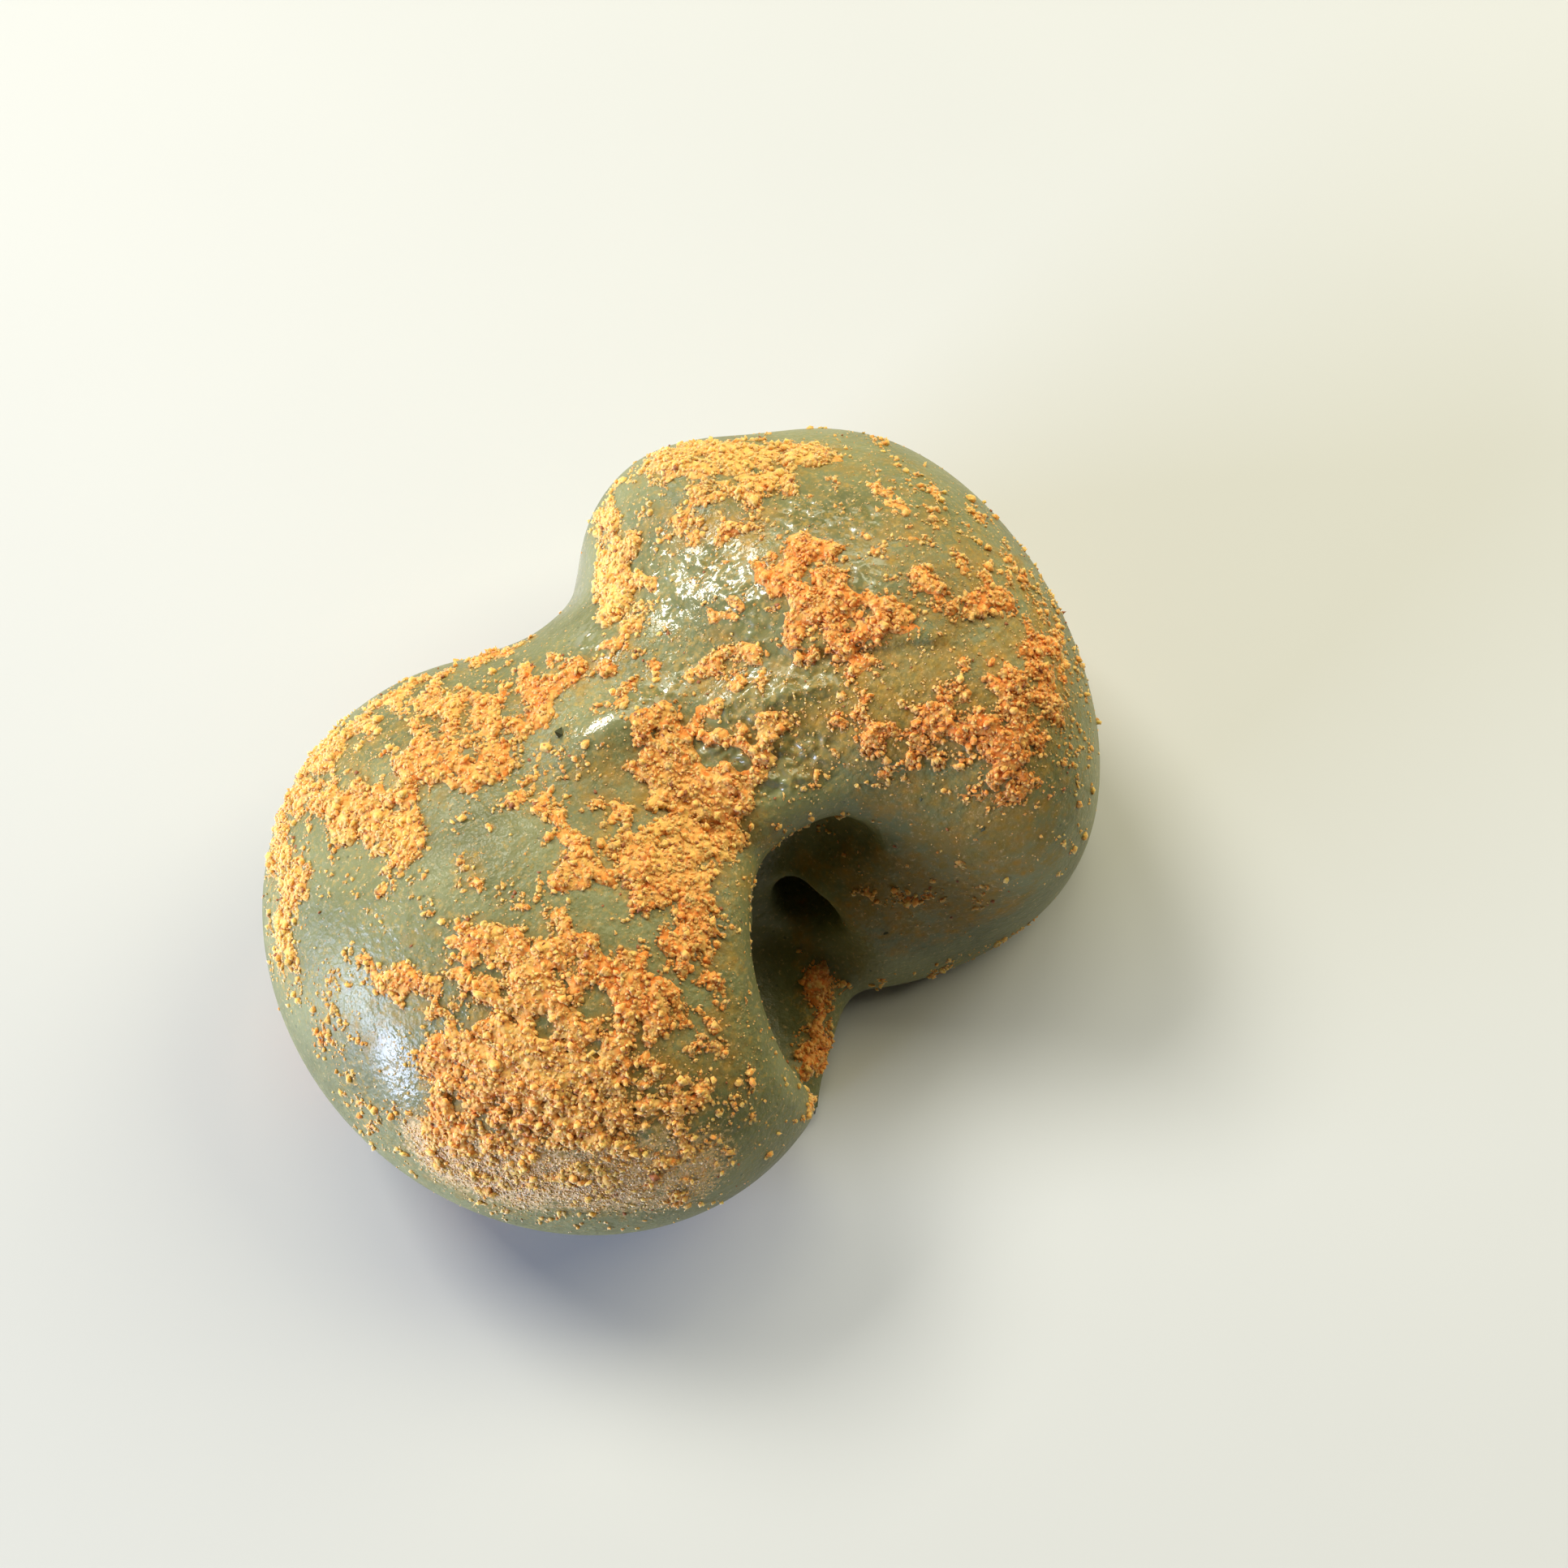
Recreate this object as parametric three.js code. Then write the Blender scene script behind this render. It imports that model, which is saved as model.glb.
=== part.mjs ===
// Mochi rice cake: one soft lump of mugwort rice dough, folded over on itself so that a
// pocket opens at the front under its thick edge, and dusted with roasted soybean flour.
//
// Millimetres, +Z up. The cake rests on its flat underside at z = 0, its long way is +X and
// the pocket opens towards -Y. The body is one smooth field, put together from soft masses
// and pressed hollows, and its zero surface is drawn as one closed mesh.
import * as THREE from 'three';

// ---- Driving dimensions ---------------------------------------------------------------
const CELL = 1.65;              // edge of one mesh cell
const MELT = 5;                 // how widely two dough masses run into each other
const BOTTOM_ROUNDING = 3;      // rounding where the side turns under to the flat base
const BASE_SNAP = 0.25;         // what lies this low is part of the flat base
const FLOUR_DEPTH = 0.7;        // thickest clumps of flour
const FLOUR_CLUMP = 3.4;        // size of one clump
const NOISE_SEED = 41;

// Soft masses: centre, half lengths along the mass's own X, Y, Z, and its turn about Z.
const LEFT_LOBE = { at: [-13.6, -1, 10.5], half: [20, 23.3, 16], turn: 5 };
const RIGHT_LOBE = { at: [20, -2.5, 11.5], half: [12, 20.6, 16.6], turn: -13 };
const BACK_CORNER = { at: [12.8, 12.8, 11.5], half: [10.2, 10.5, 15], turn: 0 };
const BRIDGE = { at: [1, 5.3, 11], half: [12.3, 11.3, 14.3], turn: 0 };
const CROWN = { at: [12, 1, 13], half: [13, 13, 15], turn: 0 };
const SKIRT = { at: [12.2, -11.2, 2.5], half: [16.2, 10.8, 11], turn: -18 };
const CHEEK = { at: [13.5, -11.5, 10], half: [8.5, 7.8, 11], turn: -20 };

// Hollows of the pocket: the notch seen from above, the cave under the left lobe's edge,
// and the small hole at the back where the folded layers part.
const NOTCH = { at: [1.5, -21, 17], half: [9.2, 13, 15], turn: -10 };
const CAVE = { at: [-3.5, -16, 8], half: [6.5, 7, 6], turn: 0 };
const HOLE = { from: [2, -11.8, 8.8], to: [5.8, -7.9, 6.8], radii: [2.7, 2.9] };

// The roll of dough that arches over the pocket, as points along its middle with radii.
const ROLL_LINE = [[-3, -1.4, 18.5], [4, -1.6, 20], [12, -6.4, 20], [19, -11, 17]];
const ROLL_RADII = [4, 4.6, 5, 6];

// The lower layer that shows under the edge, and the thin tail that it ends in.
const LOWER_LAYER = { from: [-4, -10, 0], to: [-9, -20, 0], radii: [4, 2.5] };
const TAIL = { from: [1.6, -13, 1.5], to: [-7.6, -22.4, 0.6], radii: [3.4, 1.3] };

// Shallow crease across the top, and the bump that stands beside it.
const CREASE_LINE = [[-20, 8.5], [-14, 5.8], [-6.5, 4.6], [3.4, 3.4], [10, -0.9], [16, -4.4], [20, -7.5]];
const CREASE_DEPTH = 0.9;
const CREASE_WIDTH = 3;
const BUMP = { at: [-3.2, 3.6], half: [2.9, 1.5], turn: -16, height: 1.5 };
const TOP_RELIEF_FROM = 14;     // the crease and bump fade in above this height
const TOP_RELIEF_FADE = 6;

// Thick patches of flour on the upper side: middle, half lengths and turn in plan.
const FLOUR_PATCHES = [
  { at: [16.5, 13.5], half: [6, 3.5], turn: -40 },
  { at: [5.5, 14], half: [3, 4.5], turn: -25 },
  { at: [13.5, -0.8], half: [5.5, 4], turn: -35 },
  { at: [20, -13], half: [3.5, 4.5], turn: -25 },
  { at: [12, -10.5], half: [5, 2.2], turn: -38 },
  { at: [-16.5, 9.8], half: [4.5, 3.5], turn: 20 },
  { at: [-9.5, 11.5], half: [5.5, 3.5], turn: 15 },
  { at: [-22, 14], half: [5, 3], turn: 35 },
  { at: [-3.5, -5.5], half: [5.5, 4.5], turn: 70 },
  { at: [-9.5, -3.5], half: [3, 3], turn: 0 },
  { at: [-8, -10.5], half: [2.5, 5], turn: -25 },
  { at: [-16.5, -7], half: [5.5, 4], turn: -35 },
  { at: [-20.5, -11.5], half: [7.5, 5.5], turn: -50 },
  { at: [-24.5, -1], half: [2.5, 2.5], turn: 0 },
];

const DOUGH_COLOUR = '#7d8a55';

// ---- Small helpers on numbers ---------------------------------------------------------
const clamp01 = (value) => Math.min(1, Math.max(0, value));
const smoothStep = (value) => value * value * (3 - 2 * value);
const radians = (degrees) => (degrees * Math.PI) / 180;

// Union of two fields that melts into one over the width k.
function melt(a, b, k) {
  const overlap = Math.max(k - Math.abs(a - b), 0) / k;
  return Math.min(a, b) - (overlap * overlap * k) / 4;
}

// What is left of field a when hollow b is pressed out of it, with its edge rounded by k.
function press(a, b, k) {
  return -melt(-a, b, k);
}

// Turns a plan offset into the axes of something that is itself turned about Z.
function intoTurned(dx, dy, turn) {
  const cos = Math.cos(radians(turn));
  const sin = Math.sin(radians(turn));
  return [dx * cos + dy * sin, dy * cos - dx * sin];
}

// Distance to an ellipsoid, close enough near its surface.
function ellipsoid([x, y, z], { at, half, turn }) {
  const [u, v] = intoTurned(x - at[0], y - at[1], turn);
  const w = z - at[2];
  const reach = Math.hypot(u / half[0], v / half[1], w / half[2]);
  const slope = Math.hypot(u / half[0] ** 2, v / half[1] ** 2, w / half[2] ** 2);
  return (reach * (reach - 1)) / (slope + 1e-9);
}

// Distance to a round rod whose radius changes evenly from one end to the other.
function rod([x, y, z], { from, to, radii }) {
  const along = [to[0] - from[0], to[1] - from[1], to[2] - from[2]];
  const away = [x - from[0], y - from[1], z - from[2]];
  const length2 = along[0] ** 2 + along[1] ** 2 + along[2] ** 2;
  const dot = along[0] * away[0] + along[1] * away[1] + along[2] * away[2];
  const t = clamp01(dot / length2);
  const off = Math.hypot(away[0] - t * along[0], away[1] - t * along[1], away[2] - t * along[2]);
  return off - (radii[0] + (radii[1] - radii[0]) * t);
}

// ---- The dough ------------------------------------------------------------------------
function doughMasses(p) {
  const right = melt(ellipsoid(p, RIGHT_LOBE), ellipsoid(p, BACK_CORNER), MELT + 2);
  const lobes = melt(ellipsoid(p, LEFT_LOBE), right, MELT);
  const bridged = melt(lobes, ellipsoid(p, BRIDGE), MELT);
  return melt(bridged, ellipsoid(p, CROWN), MELT + 1);
}

function roll(p) {
  let distance = Infinity;
  for (let i = 0; i + 1 < ROLL_LINE.length; i += 1) {
    const piece = { from: ROLL_LINE[i], to: ROLL_LINE[i + 1], radii: [ROLL_RADII[i], ROLL_RADII[i + 1]] };
    distance = i === 0 ? rod(p, piece) : melt(distance, rod(p, piece), 2);
  }
  return distance;
}

function foot(p) {
  return melt(ellipsoid(p, SKIRT), ellipsoid(p, CHEEK), MELT);
}

function lowerLayer(p) {
  return melt(rod(p, TAIL), rod(p, LOWER_LAYER), 2);
}

// Distance in plan from a point to a line of several straight pieces.
function planDistance(x, y, line) {
  let nearest = Infinity;
  for (let i = 0; i + 1 < line.length; i += 1) {
    const [ax, ay] = line[i];
    const bx = line[i + 1][0] - ax;
    const by = line[i + 1][1] - ay;
    const t = clamp01(((x - ax) * bx + (y - ay) * by) / (bx * bx + by * by));
    nearest = Math.min(nearest, Math.hypot(x - ax - t * bx, y - ay - t * by));
  }
  return nearest;
}

// How far the crease (positive) or the bump (negative) moves the surface inwards.
function topRelief([x, y, z]) {
  const upper = clamp01((z - TOP_RELIEF_FROM) / TOP_RELIEF_FADE);
  const crease = CREASE_DEPTH * Math.exp(-((planDistance(x, y, CREASE_LINE) / CREASE_WIDTH) ** 2));
  const [u, v] = intoTurned(x - BUMP.at[0], y - BUMP.at[1], BUMP.turn);
  const bump = BUMP.height * Math.exp(-((u / BUMP.half[0]) ** 2) - (v / BUMP.half[1]) ** 2);
  return upper * (crease - bump);
}

function dough(p) {
  let field = press(doughMasses(p), ellipsoid(p, NOTCH), 2);
  field = melt(field, roll(p), 2.5);
  field = melt(field, foot(p), MELT - 1);
  field = press(field, ellipsoid(p, CAVE), 2);
  field = melt(field, lowerLayer(p), 2);
  field = press(field, rod(p, HOLE), 0.8);
  return field + topRelief(p);
}

// ---- The flour ------------------------------------------------------------------------
// A repeatable number from 0 to 1 for each point of a whole-number lattice.
function latticeValue(i, j, k) {
  let h = Math.imul(i, 374761393) ^ Math.imul(j, 668265263) ^ Math.imul(k, 2147483647 - NOISE_SEED);
  h = Math.imul(h ^ (h >>> 13), 1274126177);
  return ((h ^ (h >>> 16)) >>> 0) / 4294967296;
}

// Smooth noise from 0 to 1 with lumps of the given size.
function lumps([x, y, z], size) {
  const [i, j, k] = [x, y, z].map((value) => Math.floor(value / size));
  const [u, v, w] = [x / size - i, y / size - j, z / size - k].map(smoothStep);
  const mix = (a, b, t) => a + (b - a) * t;
  const edge = (dj, dk) => mix(latticeValue(i, j + dj, k + dk), latticeValue(i + 1, j + dj, k + dk), u);
  return mix(mix(edge(0, 0), edge(1, 0), v), mix(edge(0, 1), edge(1, 1), v), w);
}

// Thickness of the flour: nothing between the patches, lumpy on them.
function flour(p) {
  const upper = clamp01((p[2] - TOP_RELIEF_FROM) / TOP_RELIEF_FADE);
  let cover = 0;
  for (const { at, half, turn } of FLOUR_PATCHES) {
    const [u, v] = intoTurned(p[0] - at[0], p[1] - at[1], turn);
    cover = Math.max(cover, clamp01(1.4 - Math.hypot(u / half[0], v / half[1])));
  }
  return FLOUR_DEPTH * upper * smoothStep(clamp01(cover * 1.6)) * (0.35 + 0.65 * lumps(p, FLOUR_CLUMP));
}

// The whole cake: dough and flour, cut flat and rounded at the base.
function cake(p) {
  return press(dough(p) - flour(p), p[2], BOTTOM_ROUNDING);
}

// ---- Drawing the surface --------------------------------------------------------------
const GRID_FROM = [-38, -29, -2.7];
const GRID_TO = [38, 29, 33];

function sampleGrid(field) {
  const counts = GRID_FROM.map((low, axis) => Math.ceil((GRID_TO[axis] - low) / CELL) + 1);
  const values = new Float64Array(counts[0] * counts[1] * counts[2]);
  const indexOf = (i, j, k) => i + counts[0] * (j + counts[1] * k);
  for (let k = 0; k < counts[2]; k += 1) {
    for (let j = 0; j < counts[1]; j += 1) {
      for (let i = 0; i < counts[0]; i += 1) {
        values[indexOf(i, j, k)] = field(gridPoint(i, j, k));
      }
    }
  }
  return { counts, values, indexOf };
}

function gridPoint(i, j, k) {
  return [GRID_FROM[0] + i * CELL, GRID_FROM[1] + j * CELL, GRID_FROM[2] + k * CELL];
}

// The twelve edges of a cell, each as its two corners.
function cellEdges() {
  const edges = [];
  for (let axis = 0; axis < 3; axis += 1) {
    for (let corner = 0; corner < 8; corner += 1) {
      if (((corner >> axis) & 1) === 0) edges.push([corner, corner | (1 << axis)]);
    }
  }
  return edges;
}

// The middle of the places where the surface crosses the cell's edges, or null.
function crossingMiddle(grid, i, j, k, edges) {
  const sum = [0, 0, 0];
  let count = 0;
  const corner = (c) => [i + (c & 1), j + ((c >> 1) & 1), k + ((c >> 2) & 1)];
  for (const [a, b] of edges) {
    const valueA = grid.values[grid.indexOf(...corner(a))];
    const valueB = grid.values[grid.indexOf(...corner(b))];
    if (valueA < 0 === valueB < 0) continue;
    const t = valueA / (valueA - valueB);
    const pointA = gridPoint(...corner(a));
    const pointB = gridPoint(...corner(b));
    for (let axis = 0; axis < 3; axis += 1) sum[axis] += pointA[axis] + t * (pointB[axis] - pointA[axis]);
    count += 1;
  }
  return count === 0 ? null : sum.map((value) => value / count);
}

// Slides a point onto the zero surface of the field, but never out of its own cell's reach.
function ontoSurface(field, start) {
  const step = 0.05;
  let point = start;
  for (let round = 0; round < 4; round += 1) {
    const value = field(point);
    const gradient = [0, 1, 2].map((axis) => {
      const ahead = [...point];
      ahead[axis] += step;
      return (field(ahead) - value) / step;
    });
    const size2 = gradient.reduce((total, g) => total + g * g, 0) + 1e-6;
    point = point.map((value0, axis) => {
      const moved = value0 - (gradient[axis] * value) / size2;
      return Math.min(start[axis] + CELL / 2, Math.max(start[axis] - CELL / 2, moved));
    });
  }
  return point;
}

function placeVertices(grid, field) {
  const edges = cellEdges();
  const vertexOf = new Map();
  const points = [];
  for (let k = 0; k + 1 < grid.counts[2]; k += 1) {
    for (let j = 0; j + 1 < grid.counts[1]; j += 1) {
      for (let i = 0; i + 1 < grid.counts[0]; i += 1) {
        const middle = crossingMiddle(grid, i, j, k, edges);
        if (middle === null) continue;
        const point = ontoSurface(field, middle);
        if (point[2] < BASE_SNAP) point[2] = 0;
        vertexOf.set(grid.indexOf(i, j, k), points.length);
        points.push(point);
      }
    }
  }
  return { vertexOf, points };
}

// Two triangles for four corners in order, cut along the shorter diagonal.
function quadTriangles(points, [a, b, c, d], triangles) {
  const span = (m, n) => Math.hypot(...points[m].map((value, axis) => value - points[n][axis]));
  if (span(a, c) <= span(b, d)) triangles.push(a, b, c, a, c, d);
  else triangles.push(a, b, d, b, c, d);
}

// One quad round every grid edge that the surface crosses, facing outwards.
function connect(grid, { vertexOf, points }) {
  const triangles = [];
  const step = [[1, 0, 0], [0, 1, 0], [0, 0, 1]];
  for (let k = 1; k + 1 < grid.counts[2]; k += 1) {
    for (let j = 1; j + 1 < grid.counts[1]; j += 1) {
      for (let i = 1; i + 1 < grid.counts[0]; i += 1) {
        for (let axis = 0; axis < 3; axis += 1) {
          const here = grid.values[grid.indexOf(i, j, k)] < 0;
          const next = grid.values[grid.indexOf(i + step[axis][0], j + step[axis][1], k + step[axis][2])] < 0;
          if (here === next) continue;
          const u = step[(axis + 1) % 3];
          const v = step[(axis + 2) % 3];
          const cell = (a, b) => vertexOf.get(
            grid.indexOf(i - a * u[0] - b * v[0], j - a * u[1] - b * v[1], k - a * u[2] - b * v[2]),
          );
          const ring = [cell(1, 1), cell(0, 1), cell(0, 0), cell(1, 0)];
          quadTriangles(points, here ? ring : ring.reverse(), triangles);
        }
      }
    }
  }
  return triangles;
}

function surfaceOf(field) {
  const grid = sampleGrid(field);
  const placed = placeVertices(grid, field);
  const geometry = new THREE.BufferGeometry();
  geometry.setAttribute('position', new THREE.Float32BufferAttribute(placed.points.flat(), 3));
  geometry.setIndex(connect(grid, placed));
  geometry.computeVertexNormals();
  return geometry;
}

// Puts the origin under the middle of the cake, on the surface that it rests on.
function centreOnBase(geometry) {
  geometry.computeBoundingBox();
  const { min, max } = geometry.boundingBox;
  geometry.translate(-(min.x + max.x) / 2, -(min.y + max.y) / 2, -min.z);
  return geometry;
}

function buildCake() {
  const material = new THREE.MeshStandardMaterial({ color: DOUGH_COLOUR, roughness: 0.45, metalness: 0 });
  const mesh = new THREE.Mesh(centreOnBase(surfaceOf(cake)), material);
  mesh.name = 'mochi';
  return mesh;
}

const riceCake = new THREE.Group();
riceCake.add(buildCake());

export default riceCake;
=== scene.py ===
import math

import bpy
import numpy as np
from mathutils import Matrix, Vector


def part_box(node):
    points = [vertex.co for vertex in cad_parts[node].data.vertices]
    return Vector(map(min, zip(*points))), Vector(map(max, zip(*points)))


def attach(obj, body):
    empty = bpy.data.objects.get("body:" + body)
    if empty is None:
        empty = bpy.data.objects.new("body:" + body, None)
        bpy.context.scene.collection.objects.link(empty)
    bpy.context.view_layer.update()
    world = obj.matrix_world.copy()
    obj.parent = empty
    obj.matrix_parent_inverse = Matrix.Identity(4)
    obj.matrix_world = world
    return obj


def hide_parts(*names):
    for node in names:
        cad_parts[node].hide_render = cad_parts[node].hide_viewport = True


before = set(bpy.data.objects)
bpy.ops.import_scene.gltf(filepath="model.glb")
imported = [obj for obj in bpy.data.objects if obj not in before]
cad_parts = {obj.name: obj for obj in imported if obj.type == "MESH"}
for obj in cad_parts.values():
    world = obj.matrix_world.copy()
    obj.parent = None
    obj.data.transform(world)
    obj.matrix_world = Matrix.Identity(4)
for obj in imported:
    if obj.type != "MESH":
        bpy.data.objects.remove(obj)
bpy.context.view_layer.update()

RNG = np.random.default_rng(7)

# Mugwort rice cake, folded over on itself and dusted with roasted soybean flour.
#
# The dough is one smooth field in millimetres, the same soft masses and pressed hollows as the
# solid has. Its zero surface is drawn finely, the flour grows on it as crumbly crusts, and loose
# crumbs lie on both. FIELD_TO_ROW moves all of it into the row's frame.
FIELD_TO_ROW = np.array([0.516, 0.473, 0.0])
MM = 0.001

# ---- The dough, in millimetres ----------------------------------------------------------
# A mass or hollow is an ellipsoid (its middle, its half lengths and its turn in degrees) or a
# round rod that may bend and taper (its points and the radius at each).
MELT = 5.0               # how widely the large masses run into one another
ROD_MELT = 2.0           # how widely the pieces of a bent rod do
BOTTOM_ROUNDING = 3.0    # how softly the dough turns into its flat bottom
LEFT_LOBE = dict(at=(-13.6, -1, 10.5), half=(20, 23.3, 16), turn=5)
RIGHT_LOBE = dict(at=(20, -2.5, 11.5), half=(12, 20.6, 16.6), turn=-13)
BACK_CORNER = dict(at=(12.8, 12.8, 11.5), half=(10.2, 10.5, 15), turn=0)
BRIDGE = dict(at=(1, 5.3, 11), half=(12.3, 11.3, 14.3), turn=0)
CROWN = dict(at=(12, 1, 13), half=(13, 13, 15), turn=0)
SKIRT = dict(at=(12.2, -11.2, 2.5), half=(16.2, 10.8, 11), turn=-18)
CHEEK = dict(at=(13.5, -11.5, 10), half=(8.5, 7.8, 11), turn=-20)
NOTCH = dict(at=(1.5, -21, 17), half=(9.2, 13, 15), turn=-10)
CAVE = dict(at=(-3.5, -16, 8), half=(6.5, 7, 6), turn=0)
HOLE = dict(start=(1.6, -11.6, 8.8), end=(5.2, -7.9, 6.6), radii=(2.5, 2.8))
ROLL_LINE = [(-3, -2, 18.5), (4, -2.3, 19.9), (12, -6.8, 20), (19, -11, 17)]
ROLL_RADII = [4, 4.6, 5, 6]
LIP_LINE = [(-1.4, -5.7, 20.6), (0.9, -5.8, 20.9), (2.8, -6.2, 21.2), (5, -7, 21.2), (7.8, -8.8, 20.9)]
LIP_RADII = [1.4, 1.9, 1.9, 1.9, 1.8]
UNDERCUT_LINE = [(-1, -9.8, 9), (0.8, -9.1, 13.4), (2.7, -8.9, 16.2), (4.6, -9.9, 17.6), (6, -11.6, 17.6)]
UNDERCUT_RADII = [1.5, 2.0, 2.3, 2.1, 1.1]
LOWER_LAYER = dict(start=(-4, -10, 0), end=(-9, -20, 0), radii=(4, 2.5))
TAIL = dict(start=(1.6, -13, 1.5), end=(-7.7, -22.5, 0.6), radii=(3.4, 0.9))

# What lies on the top, seen from above: a crease, a bump, a ridge and the step of a fold.
CREASE_LINE = [(-20, 8.5), (-14, 5.8), (-6.5, 4.6), (3.4, 3.4), (10, -0.9), (16, -4.4), (20, -7.5)]
CREASE_DEPTH = 0.6
CREASE_WIDTH = 3.0
BUMP = dict(at=(-2.7, 3.6), half=(4.3, 2.3), turn=-12, height=1.4)
RIDGE = dict(at=(6.5, -1.9), half=(3.4, 1.4), turn=-30, height=0.5)
FOLD_STEP = dict(start=(9.2, -0.7), end=(18, -7.2), width=2.6, height=0.45, edge=0.5)
TOP_RELIEF_FROM = 14.0   # all of these start at this height
TOP_RELIEF_FADE = 6.0    # and are at their full depth this much higher

# The corners of the space in which surfaces are looked for.
GRID_LOW = np.array([-36.0, -28.0, -1.8])
GRID_HIGH = np.array([36.0, 28.0, 32.0])

# ---- The camera, in the field's millimetres ---------------------------------------------
PHOTO_SIZE = 1932
FOCAL_PIXELS = 1930.0
SENSOR_MM = 36.0
CAMERA_AT = np.array([-19.868, -33.830, 124.269])
CAMERA_AIM = np.array([5.565, -4.573, 16.0])
RAY_START = 70.0         # nothing is nearer to the camera than this
RAY_STEPS = 120
RAY_LONGEST = 5          # a way to the dough that is longer is taken as this
RAY_SHARE = 0.75         # a step goes this share of that way
RAY_LOWEST = 0.4         # a ray that misses the cake ends at this height

# ---- Where the flour lies, in pixels of the photograph ----------------------------------
# Each stroke runs from one pixel to another: (from x, y, to x, y, half width, how thickly).
STROKE_REACH = 1.7       # half widths at which a stroke has faded out
STROKE_SOFT = 1.3        # half widths over which it fades
FLOUR_STROKES = [
    # right lobe, top edge and left corner
    (830, 570, 1000, 560, 42, 1.0), (880, 600, 960, 590, 30, 0.9), (740, 640, 775, 670, 28, 0.95),
    (750, 700, 775, 765, 32, 1.0), (850, 660, 930, 650, 25, 0.45), (1085, 545, 1085, 546, 10, 0.6),
    (1100, 560, 1100, 561, 15, 0.5), (1120, 580, 1120, 581, 15, 0.6),
    # right lobe, middle and right shoulder
    (985, 700, 1030, 780, 50, 1.0), (1050, 760, 1110, 770, 35, 0.9), (975, 785, 1115, 779, 16, 1.15),
    (990, 680, 930, 670, 25, 0.6),
    (1130, 760, 1200, 740, 30, 0.45), (1150, 665, 1150, 666, 25, 0.6), (1190, 655, 1190, 656, 12, 0.6),
    (1240, 690, 1290, 770, 18, 0.8), (1280, 790, 1270, 880, 35, 0.95), (1260, 880, 1240, 950, 40, 0.8),
    (1050, 910, 1200, 920, 30, 0.7), (1150, 890, 1240, 900, 30, 0.75), (1050, 870, 1180, 850, 30, 0.35),
    (1240, 970, 1240, 971, 18, 0.8), (1270, 1060, 1270, 1061, 25, 0.3),
    (1130, 665, 1200, 680, 35, 0.5), (1090, 725, 1210, 735, 45, 0.52), (1010, 850, 1230, 860, 55, 0.42),
    (1180, 780, 1250, 830, 35, 0.45), (870, 640, 940, 650, 35, 0.42), (1080, 590, 1200, 640, 35, 0.28),
    # waist
    (880, 790, 960, 870, 45, 0.42), (740, 840, 860, 830, 30, 0.45),
    (590, 815, 650, 790, 16, 0.9), (650, 860, 700, 830, 32, 0.95), (700, 830, 775, 800, 20, 0.95),
    (620, 900, 660, 880, 22, 0.8),
    (890, 830, 930, 810, 25, 0.8), (800, 880, 870, 870, 22, 0.6), (900, 905, 950, 915, 24, 0.85),
    # left lobe, behind the crease
    (350, 1010, 390, 940, 35, 0.9), (400, 980, 430, 1010, 30, 0.9), (460, 1010, 500, 1030, 35, 1.0),
    (500, 960, 540, 930, 40, 1.0), (560, 960, 620, 930, 30, 0.95), (590, 900, 540, 860, 45, 0.8),
    (440, 900, 400, 940, 30, 0.8), (450, 880, 560, 830, 25, 0.7), (345, 1060, 370, 1080, 28, 0.8),
    (350, 1130, 355, 1170, 25, 0.85), (575, 1075, 575, 1076, 25, 0.95), (480, 1080, 480, 1081, 15, 0.6),
    (560, 1130, 580, 1140, 18, 0.8), (615, 1110, 615, 1111, 10, 0.8), (555, 1180, 555, 1181, 18, 0.8),
    # left lobe, beside the pocket
    (680, 1000, 660, 980, 22, 0.8), (820, 940, 880, 990, 40, 1.15), (850, 1040, 800, 1080, 50, 1.2),
    (760, 1040, 720, 1060, 28, 0.95), (690, 1080, 700, 1050, 20, 0.8), (850, 1110, 850, 1180, 32, 0.9),
    (790, 970, 760, 1000, 25, 0.7), (870, 950, 925, 975, 26, 0.9),
    # left lobe, lower half
    (470, 1210, 520, 1210, 28, 0.9), (620, 1170, 650, 1210, 35, 1.0), (690, 1140, 720, 1190, 32, 0.9),
    (760, 1200, 820, 1260, 35, 1.05), (600, 1230, 720, 1250, 45, 0.94), (560, 1320, 700, 1330, 65, 0.98),
    (700, 1300, 800, 1300, 45, 0.8), (560, 1400, 720, 1390, 50, 0.93), (780, 1360, 860, 1350, 30, 0.75),
    (720, 1350, 740, 1400, 40, 0.85), (820, 1290, 850, 1330, 25, 0.6),
    (800, 1420, 840, 1470, 30, 0.45), (880, 1210, 900, 1300, 20, 0.4),
    (540, 1430, 620, 1450, 30, 0.65), (620, 1435, 760, 1445, 28, 0.62), (760, 1430, 820, 1420, 30, 0.55),
    # lower layer and pocket
    (1010, 1210, 1000, 1300, 25, 0.9), (1005, 1300, 995, 1370, 12, 0.9), (1060, 1240, 1060, 1241, 12, 0.4),
    (1085, 1210, 1085, 1211, 8, 0.5), (1060, 1100, 1150, 1105, 20, 0.4),
]
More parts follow.
